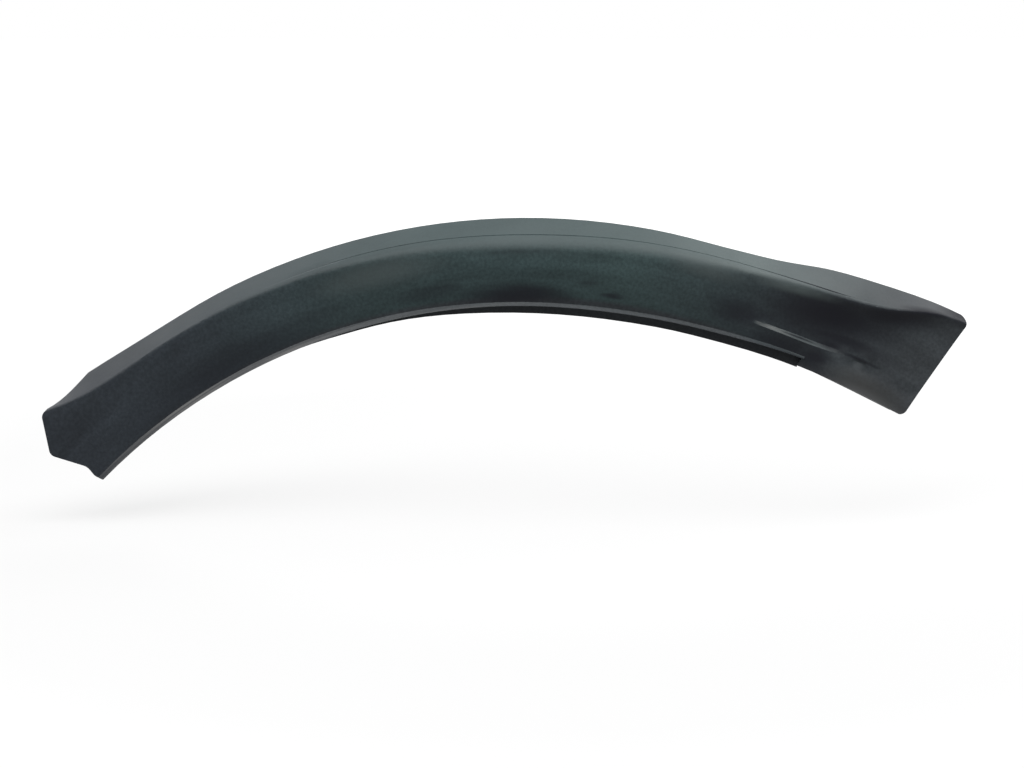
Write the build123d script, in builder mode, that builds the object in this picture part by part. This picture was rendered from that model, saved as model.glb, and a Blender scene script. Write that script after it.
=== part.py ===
"""Wheel arch trim: one thin moulded skin that follows a wheel opening.

The trim is drawn as it sits on the car: +X runs along the car towards the flared end, +Y points at the
body, and +Z is up. The origin is on the flat seat that rests on the body, at the crown of the arch. Every
section lies in a plane through the wheel arch axis, with its radius from that axis and its depth out from
the body.
"""
import os
from bisect import bisect_right
from math import cos, radians, sin, sqrt

from build123d import *

# Driving dimensions in millimetres
rim_radius = 422.0          # rear edge of the shoulder, about the arch axis
wall = 2.8                  # moulded wall of the skin
return_wall = 2.2           # wall that turns back from the lip, and the flange at its end
rib_wall = 1.8              # ribs and clip towers
seat_width = 8.0            # flat land that rests on the body
seat_thickness = 2.5
lip_height = 7.8            # lip root above the lower edge of the flared end
lip_round = 1.0
lip_bury = 1.0              # how far the lip's root runs up inside the skin
return_draft = 0.4          # how far the return wall leans away from the wheel
flange_depth = 12.0         # front of the recessed flange, out from the body
crease_inside = 0.8         # least rounding on the inside of the crease
groove_width = 0.9          # fine line between the shoulder and the face
brow_run = 11.5             # first control point of the face, below the crease
hip_run = 10.0              # second control point of the face, above the styling ridge
ridge_run = 2.2             # drop of the ridge's ledge from its back to its edge

# Clip towers and ribs on the hidden side
tower_angles = (-32.0, -16.0, 0.0, 16.0)
tower_drop = 26.0           # clip holes, below the rim
tower_length = 24.0
tower_height = 20.0
tower_seat_depth = 4.0      # clip seat, out from the body
tower_seat_thickness = 2.5
clip_hole_radius = 4.2
rib_angles = (-38.0, -24.0, -8.0, 8.0, 22.0)
rib_depth = 9.0             # free edge of a rib, out from the body

# Where features start and stop, in degrees from the crown
lip_end = 27.3              # square step where the lip gives way to the flared end
lip_overlap = 0.2           # how far the lip runs on past that step, inside the skin
seat_start = -36.0
seat_end = 16.0

# Ends of the trim in the front view, as degrees from the crown and rise from the rim radius
left_end = ((-37.8, 9.6), (-45.8, 7.0), (-48.0, -14.4), (-46.5, -36.5), (-46.7, -45.0), (-46.2, -50.2),
            (-43.5, -51.5))
left_radii = (5.0, 5.0, 8.0, 6.0, 2.5)
right_end = ((35.4, 28.5), (38.2, 32.8), (38.6, -40.6), (37.3, -42.3))
right_radius = 5.0
slant_run = 27.0            # how far the left end of the shoulder leans back, where it meets the body
slant_depth = 20.0          # where that lean meets the front view's left corner, out from the body
cut_margin = 80.0           # how far cutters and untrimmed ribs reach past the trim


def guide(*knots):
    """A smooth curve of angle against millimetres that passes through its knots and never overshoots them."""
    angles = [angle for angle, _ in knots]
    values = [value for _, value in knots]
    steps = [b - a for a, b in zip(angles, angles[1:])]
    slopes = [(b - a) / step for a, b, step in zip(values, values[1:], steps)]
    tangents = [slopes[0]]
    for before, after in zip(slopes, slopes[1:]):
        tangents.append(2 * before * after / (before + after) if before * after > 0 else 0.0)
    tangents.append(slopes[-1])

    def value_at(angle):
        i = min(max(bisect_right(angles, angle) - 1, 0), len(steps) - 1)
        t = (angle - angles[i]) / steps[i]
        start = (1 + 2 * t) * (1 - t) ** 2 * values[i] + t * (1 - t) ** 2 * steps[i] * tangents[i]
        end = t * t * (3 - 2 * t) * values[i + 1] + t * t * (t - 1) * steps[i] * tangents[i + 1]
        return start + end

    return value_at


# Guides of the section: rises are from the rim radius, depths are out from the body
rim_rise = guide((-50, 12.5), (-42.5, 6.4), (-38, 2.4), (-33.5, 0), (16, 0), (20.8, 2.4), (23.4, 6.1),
                 (25.8, 10.9), (30.9, 19.6), (36, 29.2), (41, 37))
crease_rise = guide((-50, 10.5), (-45.7, 6.5), (-44, 3), (-41.3, -3), (-38.2, -6), (-33, -7.4), (-24, -8),
                    (-14, -7.6), (0, -8.6), (10.6, -6.7), (20.4, -3.8), (27.2, 1.4), (31.2, 8), (34.7, 20.4),
                    (37, 28.6), (41, 36.2))
crease_depth = guide((-50, 18.6), (-25, 18.2), (-12, 17), (0, 16.4), (16, 16.6), (23, 16), (26, 15),
                     (28, 13.9), (30, 12.6), (32, 11), (34, 8.8), (36, 6.8), (38, 5.6), (41, 5.2))
crease_leg = guide((-50, 1.2), (-30, 1.2), (-22, 3), (-12, 6.5), (-4, 8), (10, 8.4), (16, 7.4), (20, 5.4),
                   (23, 3.6), (26, 2.6), (41, 2))
groove_depth = guide((-50, 0.02), (-24, 0.02), (-16, 0.45), (26, 0.45), (31, 0.02), (41, 0.02))
brow_depth = guide((-50, 20.4), (-25, 20.8), (0, 24.6), (16, 24.2), (20, 22.4), (22, 20.8), (24, 18.4),
                   (26, 15.4), (28, 12.4), (30, 9.6), (32, 7.2), (34, 5.8), (37, 6.5), (41, 9))
hip_depth = guide((-50, 21), (-25, 21.5), (0, 25.6), (16, 25), (20, 23), (22, 21.1), (24, 18.4), (26, 15.2),
                  (28, 12.4), (30, 10.6), (32, 10), (34, 10.7), (41, 15.5))
ridge_rise = guide((-50, -32), (16, -34), (21, -34), (24, -33.5), (26.4, -32.6), (28.2, -31.6), (29.8, -29.8),
                   (31.4, -28.2), (33.1, -26.8), (34.5, -24.6), (41, -20))
ridge_depth = guide((-50, 21), (-25, 21.4), (0, 25.2), (16, 24.4), (20, 22.8), (22, 21.5), (24, 19.2),
                    (26, 16.4), (28, 14), (30, 12.9), (32, 13), (34, 13.4), (36, 14.1), (38.5, 15.5),
                    (41, 17))
ledge_depth = guide((-50, 21), (-25, 21.4), (0, 25.2), (16, 24.4), (20, 22.9), (22, 22.6), (24, 22.3),
                    (26, 21), (28, 18.4), (30, 14.9), (32, 12.5), (34, 13.4), (36, 14.6), (38.5, 16),
                    (41, 17.5))
waist_depth = guide((-50, 21), (-25, 21.2), (0, 24.6), (16, 24), (21, 22.6), (24, 21.3), (26, 20.6),
                    (28, 19.4), (30, 18), (34, 17), (41, 19))
low_rise = guide((-50, -53.4), (-33, -54.6), (-20, -55.4), (0, -57.4), (6.5, -57.8), (12.4, -57),
                 (18.3, -55.4), (27.4, -49.8), (34, -45), (41, -38))
low_depth = guide((-50, 20.4), (-25, 20.6), (0, 22.4), (16, 22.2), (20, 21.2), (24, 20), (27, 19.6),
                  (32, 20.2), (41, 20.5))
lip_proud = guide((-50, 3.4), (-20, 3.2), (0, 2.6), (18, 2.4), (28, 1.2))
lip_width = guide((-50, 3.6), (-20, 3.5), (-4, 2.4), (30, 2.4))
flange_height = guide((-50, 0.8), (-33, 0.9), (-26, 1.5), (-20, 2.6), (-10, 4.8), (-4, 6.7), (0, 7.4),
                      (12, 7.6), (20, 7.7), (30, 8))

skin_angles = (-50, -44, -39, -34, -28, -22, -16, -10, -4, 2, 8, 13, 17, 20, 22, 24, 26, 28, 30, 32, 34, 36,
               38.5, 41)
lip_angles = [angle for angle in skin_angles if angle < lip_end] + [lip_end + lip_overlap]
crown_z = seat_width / 2
centre_z = crown_z - rim_radius
front = Plane(origin=(0, 0, crown_z), x_dir=(1, 0, 0), z_dir=(0, -1, 0))


def arch_plane(angle):
    """Section plane at an angle from the crown: local X is the radius, local Y the depth from the body."""
    a = radians(angle)
    return Plane(origin=(0, 0, centre_z), x_dir=(sin(a), 0, cos(a)), z_dir=(cos(a), 0, -sin(a)))


def front_point(angle, radius):
    """A point of the front view, as X and Z from the rim's crown."""
    return (radius * sin(radians(angle)), radius * cos(radians(angle)) - rim_radius)


def face_polygon(angle):
    """Control polygon of the outer surface, from the rim over the crease and down to the lower edge."""
    rim = Vector(rim_radius + rim_rise(angle), 0)
    crease = Vector(rim_radius + crease_rise(angle), crease_depth(angle))
    corner = crease + (crease - rim).normalized() * crease_leg(angle)
    brow = Vector(corner.X - brow_run, brow_depth(angle))
    ridge_top = Vector(rim_radius + ridge_rise(angle), ridge_depth(angle))
    hip = Vector(ridge_top.X + hip_run, hip_depth(angle))
    ledge = Vector(ridge_top.X - ridge_run, ledge_depth(angle))
    low = Vector(rim_radius + low_rise(angle), low_depth(angle))
    waist = Vector((ledge.X + low.X) / 2, waist_depth(angle))
    return [rim, corner, brow, hip, ridge_top, ledge, waist, low]


def inward(a, b):
    """Unit normal of the run from a to b, towards the hollow side."""
    run = (b - a).normalized()
    return Vector(-run.Y, run.X)


def inset(points, distance):
    """The control polygon moved towards the hollow side, with mitred corners and its start on the body."""
    normals = [inward(a, b) for a, b in zip(points, points[1:])]
    moved = [points[0] + normals[0] * distance]
    for point, before, after in zip(points[1:-1], normals, normals[1:]):
        moved.append(point + (before + after) * (distance / (1 + before.dot(after))))
    moved.append(points[-1] + normals[-1] * distance)
    run = (moved[1] - moved[0]).normalized()
    moved[0] = moved[0] - run * (moved[0].Y / run.Y)
    return moved


def crease_ends(angle, points, distance):
    """Both ends of the crease's rounding, on a control polygon that lies a distance inside the outer one."""
    above, corner, below = points[:3]
    up = (above - corner).normalized()
    down = (below - corner).normalized()
    mitre = distance * sqrt((1 + up.dot(down)) / (1 - up.dot(down)))
    leg = crease_leg(angle) if distance == 0 else max(crease_leg(angle) - mitre, crease_inside)
    return corner + up * leg, corner + down * leg


def surface_depth(angle, radius):
    """Depth of the outer surface below the ridge, where the radius runs evenly along the curve."""
    ledge, waist, low = face_polygon(angle)[5:]
    t = (ledge.X - radius) / (ledge.X - low.X)
    return (1 - t) ** 2 * ledge.Y + 2 * t * (1 - t) * waist.Y + t * t * low.Y


def lip_points(angle):
    """Root and nose of the lip, then the knee and the lower edge of the recessed flange."""
    root_radius = rim_radius + low_rise(angle) + lip_height
    root = Vector(root_radius, surface_depth(angle, root_radius))
    nose = root + Vector(-lip_width(angle), lip_proud(angle))
    knee = Vector(nose.X + return_draft, flange_depth)
    edge = knee - Vector(flange_height(angle), 0)
    return root, nose, knee, edge


def crease_and_face(angle, points, distance):
    """Edges from the strip's end over the rounded crease and down the upper face to the ridge."""
    crease, face_start = crease_ends(angle, points, distance)
    Bezier(crease, points[1], face_start)
    Bezier(face_start, points[2], points[3], points[4])
    return crease


def skin_section(angle):
    """Closed outline of the thin skin, with the fine groove above the crease."""
    outer = face_polygon(angle)
    inner = inset(outer, wall)
    with BuildSketch(arch_plane(angle)) as section:
        with BuildLine():
            crease = crease_and_face(angle, outer, 0)
            down = (outer[1] - outer[0]).normalized()
            groove_top = crease - down * groove_width
            groove_bottom = (groove_top + crease) / 2 + inward(outer[0], outer[1]) * groove_depth(angle)
            Polyline(outer[0], groove_top, groove_bottom, crease)
            Line(outer[4], outer[5])
            Bezier(*outer[5:])
            Line(outer[7], inner[7])
            Bezier(*inner[5:])
            Line(inner[4], inner[5])
            crease_in = crease_and_face(angle, inner, wall)
            Polyline(crease_in, inner[0], outer[0])
        make_face()
    return section.sketch


def lip_section(angle):
    """Rolled lip, return wall and recessed flange; the upper end is buried in the skin."""
    root, nose, knee, edge = lip_points(angle)
    start = root + Vector(lip_bury, -wall / 2)
    heel = root - Vector(0, wall)
    nose_top = nose + (start - nose).normalized() * lip_round
    nose_under = nose + (knee - nose).normalized() * lip_round
    nose_middle = (nose_top + nose * 2 + nose_under) / 4
    edge_back = edge - Vector(0, return_wall)
    knee_back = knee + Vector(return_wall, -return_wall)
    with BuildSketch(arch_plane(angle)) as section:
        with BuildLine():
            Polyline(start, nose_top, nose_middle, nose_under, knee, edge, edge_back, knee_back, heel,
                     close=True)
        make_face()
    return section.sketch


def core_section(angle):
    """Space behind the trim, out to the middle of its walls."""
    middle = inset(face_polygon(angle), wall / 2)
    root, _, knee, _ = lip_points(angle)
    heel = root - Vector(0, wall / 2)
    knee_middle = knee + Vector(return_wall, -return_wall) / 2
    with BuildSketch(arch_plane(angle)) as section:
        with BuildLine():
            crease = crease_and_face(angle, middle, wall / 2)
            body_side = Vector(knee_middle.X, 0)
            Polyline(middle[4], middle[5], heel, knee_middle, body_side, middle[0], crease)
        make_face()
    return section.sketch


def tower_plane(angle):
    """Clip seat of one tower: local X along the arch, local Y away from its axis, Z out from the body."""
    x, z = front_point(angle, rim_radius - tower_drop)
    a = radians(angle)
    return Plane(origin=(x, -tower_seat_depth, crown_z + z), x_dir=(cos(a), 0, -sin(a)), z_dir=(0, -1, 0))


# Core: the space that the ribs, towers and seat are trimmed to
with BuildPart() as core:
    loft([core_section(angle) for angle in lip_angles])

# Hidden side: seat on the body, clip towers and cross ribs
with BuildPart() as inside:
    with BuildSketch(front):
        with BuildLine():
            seat_outer = rim_radius - wall / 2
            seat_inner = rim_radius - seat_width
            middle_angle = (seat_start + seat_end) / 2
            ThreePointArc(*[front_point(angle, seat_outer) for angle in (seat_start, middle_angle, seat_end)])
            ThreePointArc(*[front_point(angle, seat_inner) for angle in (seat_start, middle_angle, seat_end)])
            for angle in (seat_start, seat_end):
                Line(front_point(angle, seat_outer), front_point(angle, seat_inner))
        make_face()
    extrude(amount=seat_thickness)
    for angle in tower_angles:
        with BuildSketch(tower_plane(angle)):
            Rectangle(tower_length, tower_height)
        extrude(amount=cut_margin)
        with BuildSketch(tower_plane(angle).offset(tower_seat_thickness)):
            with Locations((rib_wall, 0)):
                Rectangle(tower_length, tower_height - 2 * rib_wall)
        extrude(amount=cut_margin, mode=Mode.SUBTRACT)
        with BuildSketch(tower_plane(angle)):
            Circle(clip_hole_radius)
        extrude(amount=tower_seat_thickness, mode=Mode.SUBTRACT)
    for angle in rib_angles:
        with BuildSketch(arch_plane(angle)):
            with Locations((rim_radius, rib_depth)):
                Rectangle(2 * cut_margin, cut_margin, align=(Align.CENTER, Align.MIN))
        extrude(amount=rib_wall / 2, both=True)
    add(core.part, mode=Mode.INTERSECT)

# The trim: skin, lip and end cuts
with BuildPart() as arch_trim:
    loft([skin_section(angle) for angle in skin_angles])
    with BuildSketch(front):
        with BuildLine():
            edge = []
            for angle in lip_angles[:-1] + [lip_end]:
                nose = lip_points(angle)[1]
                edge.append(front_point(angle, nose.X + lip_round))
            Spline(*edge)
            below = rim_radius - cut_margin
            Polyline(edge[0], front_point(lip_angles[0], below), front_point(lip_end, below), edge[-1])
        make_face()
    extrude(amount=cut_margin, both=True, mode=Mode.SUBTRACT)
    loft([lip_section(angle) for angle in lip_angles])
    left_points = [front_point(angle, rim_radius + rise) for angle, rise in left_end]
    right_points = [front_point(angle, rim_radius + rise) for angle, rise in right_end]
    left_x = left_points[1][0]
    far_left = left_x - cut_margin
    far_right = right_points[1][0] + cut_margin
    far_low = left_points[-1][1] - cut_margin
    with BuildSketch(front):
        with BuildLine():
            first, last = left_points[0], left_points[-1]
            FilletPolyline(*left_points, radius=left_radii)
            Polyline(last, (last[0], far_low), (far_left, far_low), (far_left, first[1]), first)
        make_face()
        with BuildLine():
            first, last = right_points[0], right_points[-1]
            FilletPolyline(*right_points, radius=right_radius)
            Polyline(last, (last[0], far_low), (far_right, far_low), (far_right, cut_margin),
                     (first[0], cut_margin), first)
        make_face()
    extrude(amount=cut_margin, both=True, mode=Mode.SUBTRACT)
    with BuildSketch(Plane.XY):
        with BuildLine():
            lean = slant_run / slant_depth
            Polyline((left_x + slant_run + lean, 1), (left_x, -slant_depth), (far_left, -slant_depth),
                     (far_left, 1), close=True)
        make_face()
    extrude(amount=rim_radius, both=True, mode=Mode.SUBTRACT)
    add(inside.part)

arch_trim.part.label = "arch_trim"
os.makedirs("parts", exist_ok=True)
export_step(arch_trim.part, "parts/arch_trim.step")
box = arch_trim.part.bounding_box()
print(f"solids {len(arch_trim.solids())}, volume {arch_trim.part.volume:.0f}, size {box.size}")
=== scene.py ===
# %% [markdown]
# A wheel arch trim is the black strip of moulded plastic that borders a car's wheel opening. It is
# one thin skin: a narrow shoulder that leans back to the body, a broad face that looks outwards, a
# rolled lip along the wheel, and a flared tail where a sharp ridge runs out across the face. The
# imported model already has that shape, so this lesson loads it, gives it a believable plastic, and
# photographs it.

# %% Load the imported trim
from math import pi, radians

import bpy
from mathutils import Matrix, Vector


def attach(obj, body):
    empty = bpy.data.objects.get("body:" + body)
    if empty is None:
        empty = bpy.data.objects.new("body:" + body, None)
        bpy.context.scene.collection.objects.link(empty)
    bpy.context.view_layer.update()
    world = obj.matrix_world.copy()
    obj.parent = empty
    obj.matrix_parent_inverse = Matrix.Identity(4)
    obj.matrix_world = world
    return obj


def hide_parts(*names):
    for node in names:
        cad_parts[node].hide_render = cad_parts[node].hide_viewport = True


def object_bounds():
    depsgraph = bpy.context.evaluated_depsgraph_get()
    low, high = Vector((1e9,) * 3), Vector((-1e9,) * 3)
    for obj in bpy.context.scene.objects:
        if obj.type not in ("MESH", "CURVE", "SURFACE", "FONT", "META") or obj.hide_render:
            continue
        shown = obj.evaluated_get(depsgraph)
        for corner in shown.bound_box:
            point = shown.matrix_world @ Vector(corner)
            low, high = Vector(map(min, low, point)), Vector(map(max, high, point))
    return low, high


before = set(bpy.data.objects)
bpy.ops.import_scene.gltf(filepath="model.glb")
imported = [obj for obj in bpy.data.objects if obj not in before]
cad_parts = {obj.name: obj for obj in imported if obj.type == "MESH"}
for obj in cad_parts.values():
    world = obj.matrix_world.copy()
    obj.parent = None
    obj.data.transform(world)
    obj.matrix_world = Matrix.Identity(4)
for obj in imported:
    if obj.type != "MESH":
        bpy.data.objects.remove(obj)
packed_box = [list(corner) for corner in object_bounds()]
packed_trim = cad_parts["arch_trim"]
print("packed trim:", len(packed_trim.data.polygons), "triangles, box", packed_box)

# %% [markdown]
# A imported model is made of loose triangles: neighbours share a place but not a vertex, so shading
# can't flow from one to the next. The loose triangles could be shown as they are, but then small
# facets show along the long soft curves. Here a copy is welded into one skin, which leaves the
# packed trim as it was.

# %% Weld a copy of the trim
MM = 0.001
WELD_DISTANCE = 0.01 * MM
bpy.ops.object.select_all(action="DESELECT")
packed_trim.select_set(True)
bpy.context.view_layer.objects.active = packed_trim
bpy.ops.object.duplicate()
trim = bpy.context.view_layer.objects.active
trim.name = "trim_skin"
trim.data.name = "trim_skin"
bpy.ops.mesh.customdata_custom_splitnormals_clear()
bpy.ops.object.mode_set(mode="EDIT")
bpy.ops.mesh.select_all(action="SELECT")
bpy.ops.mesh.remove_doubles(threshold=WELD_DISTANCE)
bpy.ops.object.mode_set(mode="OBJECT")
print("welded skin:", len(trim.data.vertices), "vertices,", len(trim.data.polygons), "triangles")

# %% [markdown]
# On the real trim the bends are rounded, and only a few edges are sharp: the ends, the lip's foot
# and the groove under the shoulder. Smooth shading all over would smear light round those edges,
# and flat shading would show every triangle. So the skin is smooth, and edges that turn by more
# than a moulded rounding stay crisp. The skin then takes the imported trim's place.

# %% Smooth bends and crisp edges
CRISP_ANGLE = radians(28)
bpy.ops.object.shade_smooth_by_angle(angle=CRISP_ANGLE)
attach(trim, "root")
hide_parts("arch_trim")
crisp_edges = [edge for edge in trim.data.edges if edge.use_edge_sharp]
print("crisp edges:", len(crisp_edges), "of", len(trim.data.edges))

# %% [markdown]
# The plastic is black polypropylene with a satin finish. A plain black shader would look like a
# cut-out, so the next cells build the finish in layers, from the deep colour outwards. The nodes
# could be placed one by one, but there are many of a kind, so small helpers make them.

# %% Start the plastic
plastic = bpy.data.materials.new("satin_black_plastic")
plastic.use_nodes = True
nodes = plastic.node_tree.nodes
links = plastic.node_tree.links
surface = nodes["Principled BSDF"]


def link_into(socket, value):
    """Set a socket to a number or tuple, or link another node's output to it."""
    if isinstance(value, bpy.types.NodeSocket):
        links.new(value, socket)
    else:
        socket.default_value = value


def calculate(operation, first, second=0.0):
    """A Math node of the plastic, and its result."""
    node = nodes.new("ShaderNodeMath")
    node.operation = operation
    link_into(node.inputs[0], first)
    link_into(node.inputs[1], second)
    return node.outputs["Value"]


print("plastic started:", len(nodes), "nodes")

# %% [markdown]
# Hands and cloths wipe a trim along its length, so its marks follow the arch. A straight pattern
# could be laid over it, but it would run off the ends. Instead the nodes turn each point's place
# into three arch measures: how far along, how deep, and how far from the wheel's axis.

# %% Measures along the arch
RIM_RADIUS = 422 * MM
RIM_TOP = 4 * MM
AXIS_HEIGHT = RIM_TOP - RIM_RADIUS
place = nodes.new("ShaderNodeTexCoord")
point = nodes.new("ShaderNodeSeparateXYZ")
links.new(place.outputs["Object"], point.inputs["Vector"])
sideways = point.outputs["X"]
height = calculate("SUBTRACT", point.outputs["Z"], AXIS_HEIGHT)
turn = calculate("ARCTAN2", sideways, height)
along = calculate("MULTIPLY", turn, RIM_RADIUS)
radius = calculate("SQRT", calculate("ADD", calculate("POWER", sideways, 2.0),
                                     calculate("POWER", height, 2.0)))
arch_measures = nodes.new("ShaderNodeCombineXYZ")
link_into(arch_measures.inputs["X"], along)
link_into(arch_measures.inputs["Y"], point.outputs["Y"])
link_into(arch_measures.inputs["Z"], radius)
arch_place = arch_measures.outputs["Vector"]
print("arch measures:", len(nodes), "nodes, axis at", round(AXIS_HEIGHT, 3))

# %% [markdown]
# Several finishes change slowly from one end of the trim to the other. A straight gradient could do
# that for a flat strip, but this one bends, so a colour ramp is laid along the arch, by the angle
# from its crown. The helper that turns one range of numbers into another serves all the later
# layers too.

# %% Colours along the arch


def remap(value, low, high, low_result, high_result, smooth=False):
    """A Map Range node of the plastic, and its result."""
    node = nodes.new("ShaderNodeMapRange")
    node.interpolation_type = "SMOOTHSTEP" if smooth else "LINEAR"
    link_into(node.inputs["Value"], value)
    node.inputs["From Min"].default_value = low
    node.inputs["From Max"].default_value = high
    node.inputs["To Min"].default_value = low_result
    node.inputs["To Max"].default_value = high_result
    return node.outputs["Result"]


def colours_along(stops):
    """A ramp of colours along the arch, each at its angle from the crown in degrees."""
    first, last = stops[0][0], stops[-1][0]
    node = nodes.new("ShaderNodeValToRGB")
    link_into(node.inputs["Fac"], remap(turn, radians(first), radians(last), 0.0, 1.0))
    elements = node.color_ramp.elements
    while len(elements) < len(stops):
        elements.new(0.5)  # anywhere, because the next lines place them all
    for element, (angle, colour) in zip(elements, stops):
        element.position = (angle - first) / (last - first)
        element.color = (*colour, 1)
    return node.outputs["Color"]


print("ramps go by the angle from the crown, at a height of", RIM_TOP)

# %% [markdown]
# Old black plastic is never one black. It has gone a little green where the sun reached it, and
# stays blue towards the sheltered ends. One noise could mix two blacks at random, but the drift on
# this trim goes slowly from end to end, so it is one of those ramps.

# %% Slow drift of the black
DRIFT = [(-46, (0.032, 0.038, 0.046)), (-32, (0.029, 0.036, 0.043)),
         (-14, (0.034, 0.052, 0.054)), (0, (0.033, 0.052, 0.054)),
         (9, (0.041, 0.064, 0.065)), (25, (0.033, 0.040, 0.046)), (37, (0.036, 0.041, 0.045))]
face_black = colours_along(DRIFT)
print("drift:", len(DRIFT), "blacks along the arch")

# %% [markdown]
# The rolled lip hangs in the shade of the face, so the sun hasn't turned it green. It could have a
# material of its own, but the two would meet in a hard line. The lip is known by its distance from
# the wheel's axis, so a neutral black is mixed in over the last few millimetres.

# %% Neutral black of the lip
MIX_AMOUNT, MIX_BELOW, MIX_ABOVE, MIX_RESULT = 0, 6, 7, 2  # a Mix node's sockets for colours


def blend(mode, amount, below, above):
    """A Mix node of the plastic between two colours, and its result."""
    node = nodes.new("ShaderNodeMix")
    node.data_type = "RGBA"
    node.blend_type = mode
    link_into(node.inputs[MIX_AMOUNT], amount)
    link_into(node.inputs[MIX_BELOW], below)
    link_into(node.inputs[MIX_ABOVE], above)
    return node.outputs[MIX_RESULT]


LIP_TOP = RIM_RADIUS - 40 * MM
LIP_FADE = (LIP_TOP - 8 * MM, LIP_TOP - 5 * MM)
LIP_SHARE = 0.85
LIP_BLACK = (0.038, 0.041, 0.046, 1)
on_the_lip = remap(radius, *LIP_FADE, LIP_SHARE, 0.0)
drift = blend("MIX", on_the_lip, face_black, LIP_BLACK)
print("lip: neutral below a radius of", round(LIP_FADE[1], 3))

# %% [markdown]
# Three finer layers lie over the drift. Haze is cloudy, as where the hot plastic met a cooler part
# of the mould, wiping has left long faint streaks, and the grain of the surface makes a fine
# speckle. Each could be painted, but a noise does it without a picture: a broad one for the haze, a
# fine one for the speckle, and one stretched along the arch for the streaks.

# %% Haze, wiped streaks and speckle


def noise(vector, fineness, detail):
    """A noise of the plastic: a higher fineness gives smaller spots."""
    node = nodes.new("ShaderNodeTexNoise")
    link_into(node.inputs["Vector"], vector)
    node.inputs["Scale"].default_value = fineness
    node.inputs["Detail"].default_value = detail
    return node.outputs["Fac"]


def stretched(vector, scale):
    """The same places, squeezed along each axis, so that a pattern on them is stretched."""
    node = nodes.new("ShaderNodeMapping")
    link_into(node.inputs["Vector"], vector)
    node.inputs["Scale"].default_value = scale
    return node.outputs["Vector"]


HAZE_FINENESS, HAZE_DETAIL = 16.0, 6.0
STREAK_STRETCH = (0.16, 1.0, 1.0)
STREAK_FINENESS, STREAK_DETAIL = 130.0, 5.0
SPECKLE_FINENESS, SPECKLE_DETAIL = 520.0, 2.0
wiped_place = stretched(arch_place, STREAK_STRETCH)
haze = noise(place.outputs["Object"], HAZE_FINENESS, HAZE_DETAIL)
streaks = noise(wiped_place, STREAK_FINENESS, STREAK_DETAIL)
speckle = noise(place.outputs["Object"], SPECKLE_FINENESS, SPECKLE_DETAIL)
print("haze, streaks and speckle:", len(nodes), "nodes")

# %% [markdown]
# On the trim these layers only dim or lift the black a little. Mixed in as colours of their own
# they would hide the drift below. A layer that multiplies by a number near one keeps it, so each
# noise is first turned into such a number.

# %% Dim and lift the black
NOISE_LOW, NOISE_HIGH = 0.3, 0.7  # nearly all of a noise lies between these
HAZE_SWING, STREAK_SWING, SPECKLE_SWING = 0.16, 0.18, 0.19


def around_one(layer, swing):
    """A noise as a number that swings about one."""
    return remap(layer, NOISE_LOW, NOISE_HIGH, 1.0 - swing, 1.0 + swing)


haze_level = around_one(haze, HAZE_SWING)
streak_level = around_one(streaks, STREAK_SWING)
speckle_level = around_one(speckle, SPECKLE_SWING)
level = calculate("MULTIPLY", calculate("MULTIPLY", haze_level, streak_level), speckle_level)
hazy_black = blend("MULTIPLY", 1.0, drift, level)
print("swings of the black:", HAZE_SWING, STREAK_SWING, SPECKLE_SWING)

# %% [markdown]
# Some marks have a place of their own, such as a dark smear over the lip or the painted
# highlight on the ridge. A random noise can't put them there, and a painted picture would be one
# more file. Each mark is an oval instead, given by its angle from the crown and its rise from the
# rim, with its half length along the arch, its half width, its tilt and its strength.

# %% Ovals at given places
OVAL_CORE = 0.1  # the share of an oval that has its full strength
ALL_DEPTHS = 1.0


def oval(angle, rise, half_length, half_width, tilt, strength, vector):
    """How strongly one oval marks each point. It fades towards its edge."""
    local = nodes.new("ShaderNodeMapping")
    local.vector_type = "TEXTURE"
    link_into(local.inputs["Vector"], vector)
    local.inputs["Location"].default_value = (radians(angle) * RIM_RADIUS, 0,
                                              RIM_RADIUS + rise * MM)
    local.inputs["Rotation"].default_value = (0, -radians(tilt), 0)
    local.inputs["Scale"].default_value = (half_length * MM, ALL_DEPTHS, half_width * MM)
    reach = nodes.new("ShaderNodeVectorMath")
    reach.operation = "LENGTH"
    links.new(local.outputs["Vector"], reach.inputs[0])
    return remap(reach.outputs["Value"], OVAL_CORE, 1.0, strength, 0.0, smooth=True)


def ovals(marks, vector):
    """The strongest of several ovals at each point."""
    strongest = None
    for mark in marks.values():
        one = oval(*mark, vector)
        strongest = one if strongest is None else calculate("MAXIMUM", strongest, one)
    return strongest


print("ovals fade beyond", OVAL_CORE, "of their size")

# %% [markdown]
# A wiped smear has a ragged edge, drawn out along the arch, and a clean oval would look stamped on.
# The edge could be broken up by a noise over the colour, but that leaves the outline an oval. Here
# the noise moves the places themselves before an oval is laid on them.

# %% Ragged edges
EDGE_PUSH = (30 * MM, 0, 8 * MM)
NOISE_MIDDLE = (0.5, 0.5, 0.5)
edge_noise = nodes.new("ShaderNodeTexNoise")
link_into(edge_noise.inputs["Vector"], wiped_place)
edge_noise.inputs["Scale"].default_value = STREAK_FINENESS
push = nodes.new("ShaderNodeVectorMath")
push.operation = "SUBTRACT"
links.new(edge_noise.outputs["Color"], push.inputs[0])
push.inputs[1].default_value = NOISE_MIDDLE
pushed = nodes.new("ShaderNodeVectorMath")
pushed.operation = "MULTIPLY_ADD"
links.new(push.outputs["Vector"], pushed.inputs[0])
pushed.inputs[1].default_value = EDGE_PUSH
links.new(arch_place, pushed.inputs[2])
pushed_place = pushed.outputs["Vector"]
print("edges pushed by up to", EDGE_PUSH[0] / 2, "along and", EDGE_PUSH[2] / 2, "across")
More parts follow.
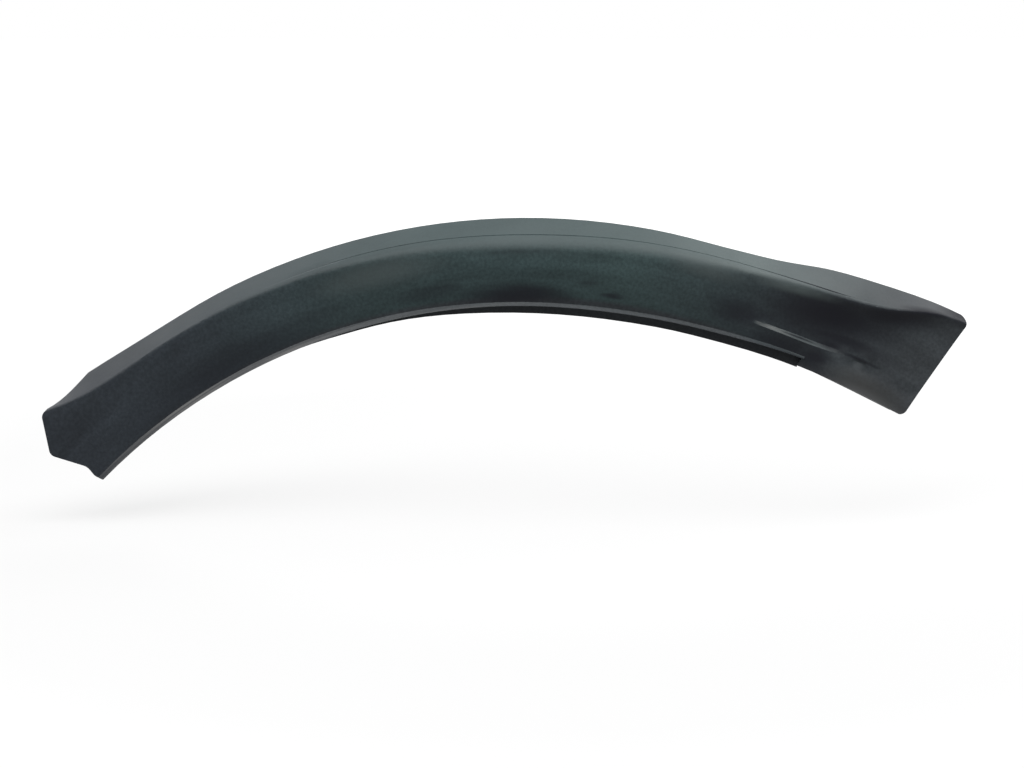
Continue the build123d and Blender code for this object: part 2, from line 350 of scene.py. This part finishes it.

# %% [markdown]
# Dark smears lie over the lip at the crown, low on the left of the face and round the ridge, with
# small wiped spots beside them. Beyond them, the face over the ridge, the hollow under the crease
# and the ridge's foot lie in shade, but the lamps alone don't make them dark enough, so shade is
# painted on them. The smears get ragged edges, and the painted shade soft ones.

# %% Dark smears and painted shade in the hollows
SMEARS = {  # angle in degrees, rise, half length and half width in mm, tilt in degrees, strength
    "over_the_lip": (-1.0, -45.0, 55.0, 11.0, 0, 0.9),
    "left_of_that": (-9.0, -39.0, 36.0, 8.0, 0, 0.45),
    "at_the_crown": (-1.0, -18.0, 32.0, 4.0, 0, 0.35),
    "wiped_streak": (8.1, -42.0, 14.0, 3.2, 0, 0.75),
    "wiped_spot": (5.3, -34.5, 9.0, 4.0, 0, 0.4),
    "left_low": (-28.0, -41.0, 110.0, 17.0, 0, 0.5),
    "before_the_ridge": (20.0, -33.5, 30.0, 15.0, 0, 0.75),
    "below_the_ridge": (25.2, -42.0, 34.0, 11.0, 4, 0.7),
    "below_its_end": (28.2, -40.5, 18.0, 12.0, 0, 0.85),
}
# Painted shade: ovals that darken the colour where the crease and the ridge hold shade.
PAINTED_SHADE = {
    "above_the_ridge": (28.0, -12.0, 62.0, 23.0, 13, 1.0),
    "under_the_crease": (32.5, 6.0, 52.0, 14.0, 30, 0.9),
    "ridge_foot": (32.0, -28.0, 25.0, 1.8, 8, 0.75),
    "ridge_start": (22.2, -30.5, 17.0, 6.5, 5, 0.6),
    "over_the_ridge": (30.0, -22.6, 54.0, 7.5, 8, 0.85),
}
# Real smears and painted shade together, the stronger at each point.
smear_and_shade_ovals = calculate("MAXIMUM", ovals(SMEARS, pushed_place), ovals(PAINTED_SHADE, arch_place))
print("smears:", ", ".join([*SMEARS, *PAINTED_SHADE]))

# %% [markdown]
# An oval goes right through the trim, but a smear or painted shade lies only on the face: not on
# the shoulder, on top of the lip or on the hidden side. Faces could be picked by hand for it, but
# the direction that the surface looks in tells them apart already, and does so without a hard
# border.

# %% Smears and painted shade on the face only
# The first range fades out the painted shade as well as the smears.
SMEAR_AND_SHADE_UPWARD_FADE = (0.15, 0.55)  # smears fade out as the normal's upward part grows
BACKWARD_NO_MARK = (-0.3, 0.0)  # and marks do as it turns to the hidden side
# DEEP_BLACK colours the smears, and the painted shade here and further on.
DEEP_BLACK = (0.008, 0.0085, 0.0125, 1)
facing = nodes.new("ShaderNodeSeparateXYZ")
links.new(place.outputs["Normal"], facing.inputs["Vector"])
upward, backward = facing.outputs["Z"], facing.outputs["Y"]
facing_out = remap(upward, *SMEAR_AND_SHADE_UPWARD_FADE, 1.0, 0.0, smooth=True)
front_side = remap(backward, *BACKWARD_NO_MARK, 1.0, 0.0, smooth=True)
smear_and_shade_amount = calculate("MULTIPLY", smear_and_shade_ovals, calculate("MULTIPLY", facing_out, front_side))
smear_and_shade_black = blend("MIX", smear_and_shade_amount, hazy_black, DEEP_BLACK)
print("smears laid on:", len(nodes), "nodes")

# %% [markdown]
# A pale film is mixed in wherever the surface looks up, and most on the shoulder. It is partly a
# fine film of dust, and partly painted light, which makes the tops that face the box overhead,
# the ridge's ledge among them, paler. Dust could be painted by place, but the surface's own
# direction already says where it would lie, so the film is mixed in by how far the normal points
# up. It is thicker where the haze is bright and thin on the lip, and its colour drifts along the
# arch as the black does.

# %% Film of dust and painted light on what faces up
# The film is dust and painted top light; the first range brings both in as the normal turns up.
UPWARD_DUST_AND_LIGHT = (0.12, 0.73)  # dust comes in as the normal's upward part grows
DUST_AND_LIGHT_COVER = (0.6, 0.95)
LIP_DUST_AND_LIGHT, LIP_DUST_AND_LIGHT_FADE = 0.1, 6 * MM
# Pale colours of the dust and of the painted top light, along the arch.
DUST_AND_TOP_LIGHT = [(-46, (0.090, 0.093, 0.101)), (-8, (0.068, 0.087, 0.089)), (12, (0.068, 0.086, 0.087)),
        (20, (0.106, 0.129, 0.128)), (36, (0.070, 0.073, 0.079))]
facing_up = remap(upward, *UPWARD_DUST_AND_LIGHT, 0.0, 1.0, smooth=True)
settled_dust_and_light = calculate("MULTIPLY", facing_up, remap(haze, NOISE_LOW, NOISE_HIGH, *DUST_AND_LIGHT_COVER))
off_the_lip = remap(radius, LIP_TOP - LIP_DUST_AND_LIGHT_FADE, LIP_TOP, LIP_DUST_AND_LIGHT, 1.0)
dust_and_light_amount = calculate("MULTIPLY", settled_dust_and_light, off_the_lip)
dusty_and_lit_black = blend("MIX", dust_and_light_amount, smear_and_shade_black, colours_along(DUST_AND_TOP_LIGHT))
print("dust:", len(DUST_AND_TOP_LIGHT), "greys along the arch")

# %% [markdown]
# The brow, the strip of the face just under the crease, is painted paler in three places, as a
# highlight of the soft box on that rounding. More light there would give a highlight that moves
# with the viewer, while the painted one stays where it is, so it is a paler colour in soft ovals.

# %% Painted highlights on the brows
# A painted highlight: a paler colour where the box's light falls on the brow.
BROW_HIGHLIGHT_COLOUR = (0.078, 0.096, 0.097, 1)
PAINTED_BROW_HIGHLIGHTS = {
    "left_brow": (-13.5, -21.0, 58.0, 13.0, 0, 0.55),
    "right_brow": (16.0, -13.0, 36.0, 9.0, 0, 0.55),
    "ridge_brow": (24.0, -6.0, 38.0, 5.5, 8.5, 0.9),
}
brow_highlight_amount = calculate("MULTIPLY", ovals(PAINTED_BROW_HIGHLIGHTS, arch_place), front_side)
brow_highlit_black = blend("MIX", brow_highlight_amount, dusty_and_lit_black, BROW_HIGHLIGHT_COLOUR)
print("bleached:", ", ".join(PAINTED_BROW_HIGHLIGHTS))

# %% [markdown]
# The tail hangs low beside the wheel, so its lower edge has caught a little brown road dust, and
# the rim of that edge has a pale painted highlight. Both could be picked out by height, but the
# edge runs at a slant across the arch, so they are long ovals, tilted to lie along it.

# %% Road dust and a painted highlight on the tail
ROAD_DUST = (0.039, 0.038, 0.036, 1)
# A painted highlight: the pale line along the tail's lower rim.
TAIL_HIGHLIGHT_COLOUR = (0.082, 0.085, 0.087, 1)
DUSTED = {"tail_edge": (34.5, -43.0, 50.0, 16.0, 7, 0.7)}
PAINTED_TAIL_HIGHLIGHT = {"tail_rim": (34.8, -46.2, 46.0, 8.0, 6.5, 0.9)}
dusted_black = blend("MIX", ovals(DUSTED, pushed_place), brow_highlit_black, ROAD_DUST)
tail_highlight_amount = calculate("MULTIPLY", ovals(PAINTED_TAIL_HIGHLIGHT, arch_place), front_side)
tail_highlit_black = blend("MIX", tail_highlight_amount, dusted_black, TAIL_HIGHLIGHT_COLOUR)
print("tail:", ", ".join([*DUSTED, *PAINTED_TAIL_HIGHLIGHT]))

# %% [markdown]
# Where the trim stands proud, its edges catch a line of light, and that highlight is painted on as
# a pale colour: along the sharp ridge and along the lip, most on the lip's left half, where it is
# widest. An edge mask could find every edge, but only these carry it. They are placed one by one,
# show only where the surface looks up, so that each stays a thin line, and are broken up by long
# scratches.

# %% Painted highlights on proud edges
EDGE_HIGHLIGHT_COLOUR = (0.150, 0.150, 0.149, 1)
# The painted edge highlight comes in as the normal's upward part grows.
UPWARD_EDGE_HIGHLIGHT = (0.2, 0.5)  # rubs come in as the normal's upward part grows
SCRATCH_STRETCH = (0.03, 1.0, 1.0)
SCRATCH_FINENESS, SCRATCH_DETAIL = 520.0, 1.0
SCRATCH_CUT, FAINTEST_SCRATCH = (0.38, 0.6), 0.35
PAINTED_EDGE_HIGHLIGHTS = {
    "ridge": (22.6, -35.0, 26.0, 8.0, 0, 0.8),
    "left_lip": (-32.0, -49.0, 165.0, 10.0, 0, 0.95),
    "long_lip": (-15.0, -49.0, 230.0, 10.0, 0, 0.2),
}
proud = remap(upward, *UPWARD_EDGE_HIGHLIGHT, 0.0, 1.0, smooth=True)
long_scratches = noise(stretched(arch_place, SCRATCH_STRETCH), SCRATCH_FINENESS, SCRATCH_DETAIL)
scratches = remap(long_scratches, *SCRATCH_CUT, FAINTEST_SCRATCH, 1.0)
edge_highlight_amount = calculate("MULTIPLY", ovals(PAINTED_EDGE_HIGHLIGHTS, arch_place),
                       calculate("MULTIPLY", proud, front_side))
edge_highlit_black = blend("MIX", calculate("MULTIPLY", edge_highlight_amount, scratches), tail_highlit_black, EDGE_HIGHLIGHT_COLOUR)
print("rubbed:", ", ".join(PAINTED_EDGE_HIGHLIGHTS))

# %% [markdown]
# Painted shade lies along the ridge's ledge and over its end, in the valley where the crease dies
# out, and over the tip beyond it: dark lines where these folds hold shade. A mask of hollows
# could find such places, but it would also darken the grooves that stay lighter here, so these
# are ovals too, most of them slim. They lie over all the other layers, and with them the colour is
# finished.

# %% Painted shade over the rest
PAINTED_SHADE_LINES = {
    "ledge": (26.2, -33.6, 20.0, 0.8, 3.5, 0.9),
    "ledge_end": (29.4, -29.4, 17.0, 4.5, 8, 0.8),
    "valley": (35.2, 21.4, 27.0, 3.2, 23.5, 0.95),
    "tip": (37.9, 34.0, 24.0, 11.0, 27.0, 1.0),
}
finished_black = blend("MIX", ovals(PAINTED_SHADE_LINES, arch_place), edge_highlit_black, DEEP_BLACK)
link_into(surface.inputs["Base Color"], finished_black)
print("colour finished:", len(nodes), "nodes")

# %% [markdown]
# Satin plastic scatters a highlight, and it does so unevenly: a little sharper where it was wiped,
# and duller under the dust. One number for the roughness would give a dead, even sheen, so the
# streaks and the dust move it up and down. The dust's mask also holds the painted top light, so
# the roughness rises there too. The strength of the highlight is the same all over, so it is a
# plain number on the shader.

# %% Uneven satin sheen
HIGHLIGHT = 0.13
WIPED_ROUGHNESS = (0.40, 0.50)
DUST_AND_LIGHT_ROUGHNESS = 0.08
surface.inputs["Specular IOR Level"].default_value = HIGHLIGHT
wiped_sheen = remap(streaks, NOISE_LOW, NOISE_HIGH, *WIPED_ROUGHNESS)
sheen = calculate("ADD", wiped_sheen, remap(dust_and_light_amount, 0.0, 1.0, 0.0, DUST_AND_LIGHT_ROUGHNESS))
link_into(surface.inputs["Roughness"], sheen)
print("sheen: roughness", WIPED_ROUGHNESS, "and up to", DUST_AND_LIGHT_ROUGHNESS, "more under dust")

# %% [markdown]
# The mould's steel was etched, so the plastic has a grain of tenths of a millimetre, and the thin
# wall sank a little between the ribs as it cooled. Both are too shallow to model, so two bumps bend
# the light instead: a fine one for the grain and a long soft one for the sinking.

# %% Moulded grain and sink marks


def bump(bump_height, strength, distance, below=None):
    """A Bump node over the one below it, and its normal."""
    node = nodes.new("ShaderNodeBump")
    node.inputs["Strength"].default_value = strength
    node.inputs["Distance"].default_value = distance
    link_into(node.inputs["Height"], bump_height)
    if below is not None:
        links.new(below, node.inputs["Normal"])
    return node.outputs["Normal"]


SINK_STRETCH = (0.5, 1.0, 1.0)
SINK_FINENESS, SINK_DETAIL = 34.0, 1.0
SINK_STRENGTH, SINK_DEPTH = 0.35, 0.7 * MM
GRAIN_FINENESS, GRAIN_DETAIL = 1400.0, 2.0
GRAIN_STRENGTH, GRAIN_DEPTH = 0.12, 0.05 * MM
sink_noise = noise(stretched(arch_place, SINK_STRETCH), SINK_FINENESS, SINK_DETAIL)
grain_noise = noise(place.outputs["Object"], GRAIN_FINENESS, GRAIN_DETAIL)
sinks = bump(sink_noise, SINK_STRENGTH, SINK_DEPTH)
grain = bump(grain_noise, GRAIN_STRENGTH, GRAIN_DEPTH, below=sinks)
link_into(surface.inputs["Normal"], grain)
trim.data.materials.clear()
trim.data.materials.append(plastic)
print("plastic finished:", len(nodes), "nodes")

# %% [markdown]
# The ground in the photograph is so pale that no edge of it shows. A floor that is only bright
# would also throw light up under the lip. So the paper is grey for the light that bounces off it,
# and the next cells add a white that doesn't light the trim. The floor lies a little below the
# trim, where it catches a soft shadow.

# %% Pale floor
FLOOR_DROP = 0.03
FLOOR_SIZE = 9.0
FLOOR_GREY = (0.17, 0.17, 0.17, 1)
FLOOR_ROUGHNESS = 0.9
floor_height = packed_box[0][2] - FLOOR_DROP
bpy.ops.mesh.primitive_plane_add(size=FLOOR_SIZE, location=(0, 0, floor_height))
floor = bpy.context.active_object
floor.name = "floor"
paper = bpy.data.materials.new("pale_paper")
paper.use_nodes = True
sheet = paper.node_tree
bounce = sheet.nodes["Principled BSDF"]
bounce.inputs["Base Color"].default_value = FLOOR_GREY
bounce.inputs["Roughness"].default_value = FLOOR_ROUGHNESS
bounce.inputs["Specular IOR Level"].default_value = 0.0
floor.data.materials.append(paper)
print("floor at", round(floor_height, 3))

# %% [markdown]
# A white studio is bright to look at, but its walls and floor light the trim far less than they
# seem to. Lamps strong enough to whiten the paper would bleach the trim. Blender can tell which
# kind of ray meets a surface, so the white is kept for rays that come straight from the camera, a
# reflection or clear glass, and the light that bounces on to the trim stays dim.

# %% Rays that look straight at something


def seen_directly(tree):
    """One for rays of the camera, reflections or clear glass, and nought for bounced light."""
    path = tree.nodes.new("ShaderNodeLightPath")
    seen = path.outputs["Is Camera Ray"]
    for ray in ("Is Glossy Ray", "Is Transmission Ray"):
        either = tree.nodes.new("ShaderNodeMath")
        either.operation = "MAXIMUM"
        tree.links.new(seen, either.inputs[0])
        tree.links.new(path.outputs[ray], either.inputs[1])
        seen = either.outputs["Value"]
    return seen


looked_at = seen_directly(sheet)
print("floor nodes:", len(sheet.nodes))

# %% [markdown]
# The paper shows the trim's shadow only faintly. A floor that is all glow would lose it, so the
# glow is added to the true floor below. It grows a little away from the trim, so that the floor's
# far edge melts into the white room.

# %% White glow of the floor
WHITE = (1, 1, 1, 1)
FLOOR_GLOW, FAR_GLOW = 0.73, 1.0
FADE_START, FADE_END = 0.4, 1.4
floor_place = sheet.nodes.new("ShaderNodeTexCoord")
away = sheet.nodes.new("ShaderNodeVectorMath")
away.operation = "LENGTH"
sheet.links.new(floor_place.outputs["Object"], away.inputs[0])
fade = sheet.nodes.new("ShaderNodeMapRange")
sheet.links.new(away.outputs["Value"], fade.inputs["Value"])
fade.inputs["From Min"].default_value = FADE_START
fade.inputs["From Max"].default_value = FADE_END
fade.inputs["To Min"].default_value = FLOOR_GLOW
fade.inputs["To Max"].default_value = FAR_GLOW
glow = sheet.nodes.new("ShaderNodeMath")
glow.operation = "MULTIPLY"
sheet.links.new(looked_at, glow.inputs[0])
sheet.links.new(fade.outputs["Result"], glow.inputs[1])
bounce.inputs["Emission Color"].default_value = WHITE
sheet.links.new(glow.outputs["Value"], bounce.inputs["Emission Strength"])
print("floor glow:", FLOOR_GLOW, "below the trim and", FAR_GLOW, "beyond", FADE_END)

# %% [markdown]
# The light on the trim comes from one large soft box above it and a little in front. A lamp in
# front would flatten the face. From above, the shoulder turns pale, the face falls off into the
# dark, and the ridge and the lip each catch a line of light. Painted top light and painted
# highlights make these paler still.

# %% Soft box overhead
TRIM_MIDDLE = Vector((0, 0, -0.06))


def soft_box(name, length, width, box_place, power):
    """A rectangular soft light that looks at the middle of the trim."""
    bpy.ops.object.light_add(type="AREA", location=box_place)
    box = bpy.context.active_object
    box.name = name
    box.data.shape = "RECTANGLE"
    box.data.size = length
    box.data.size_y = width
    box.data.energy = power
    box.rotation_euler = (TRIM_MIDDLE - box_place).to_track_quat("-Z", "Y").to_euler()
    return box


OVERHEAD_LENGTH, OVERHEAD_WIDTH = 5.0, 0.9
OVERHEAD_PLACE = Vector((0.25, -0.35, 1.2))
OVERHEAD_POWER = 70
soft_box("overhead_box", OVERHEAD_LENGTH, OVERHEAD_WIDTH, OVERHEAD_PLACE, OVERHEAD_POWER)
print("overhead box:", OVERHEAD_POWER, "W")

# %% [markdown]
# The hidden side faces away from that box, and its ribs and clip towers would sink into black when
# someone turns the trim round. A dim second box stands behind, above the picture. It is kept out of
# reflections, so that the front looks as it did without it.

# %% Dim box behind
BEHIND_LENGTH, BEHIND_WIDTH = 2.4, 0.6
BEHIND_PLACE = Vector((0, 1.5, 0.6))
BEHIND_POWER = 24
behind = soft_box("behind_box", BEHIND_LENGTH, BEHIND_WIDTH, BEHIND_PLACE, BEHIND_POWER)
behind.visible_glossy = False
print("box behind:", BEHIND_POWER, "W")

# %% [markdown]
# The rest of the room is white to look at, but gives only a faint, cool light of its own, as a
# large dim studio does. A world as bright as it looks would light the trim from every side and wash
# the modelling out.

# %% Dim white room
FILL_COLOUR = (0.93, 0.98, 1.0, 1)
FILL_LEVEL = 0.04
WHITE_LEVEL = 1.0
world = bpy.data.worlds.new("studio")
bpy.context.scene.world = world
world.use_nodes = True
air = world.node_tree
fill = air.nodes["Background"]
fill.inputs["Color"].default_value = FILL_COLOUR
fill.inputs["Strength"].default_value = FILL_LEVEL
white = air.nodes.new("ShaderNodeBackground")
white.inputs["Color"].default_value = WHITE
white.inputs["Strength"].default_value = WHITE_LEVEL
shown = air.nodes.new("ShaderNodeMixShader")
air.links.new(seen_directly(air), shown.inputs["Fac"])
air.links.new(fill.outputs["Background"], shown.inputs[1])
air.links.new(white.outputs["Background"], shown.inputs[2])
air.links.new(shown.outputs["Shader"], air.nodes["World Output"].inputs["Surface"])
print("room: fill", FILL_LEVEL)

# %% [markdown]
# The photograph was taken square to the trim and a little above it, with a long lens that keeps
# both ends the same size. A camera could be aimed by eye, but here the lens, the tilt and the place
# were fitted, so that the trim's ends and crown fall where the photograph has them.

# %% Camera
LENS = 85.0
SENSOR = 36.0
CAMERA_TILT = radians(12)
CAMERA_PLACE = (-0.009464, -1.513914, 0.218526)
bpy.ops.object.camera_add(location=CAMERA_PLACE, rotation=(pi / 2 - CAMERA_TILT, 0, 0))
camera = bpy.context.active_object
camera.name = "camera"
camera.data.lens = LENS
camera.data.sensor_width = SENSOR
bpy.context.scene.camera = camera
bpy.context.scene.view_settings.view_transform = "Standard"
print("camera: lens", LENS, "at", CAMERA_PLACE)

# %% [markdown]
# The finish has no thickness, so the dressed trim must be as large as the imported one.

# %% Sizes
print("the finish adds no thickness")
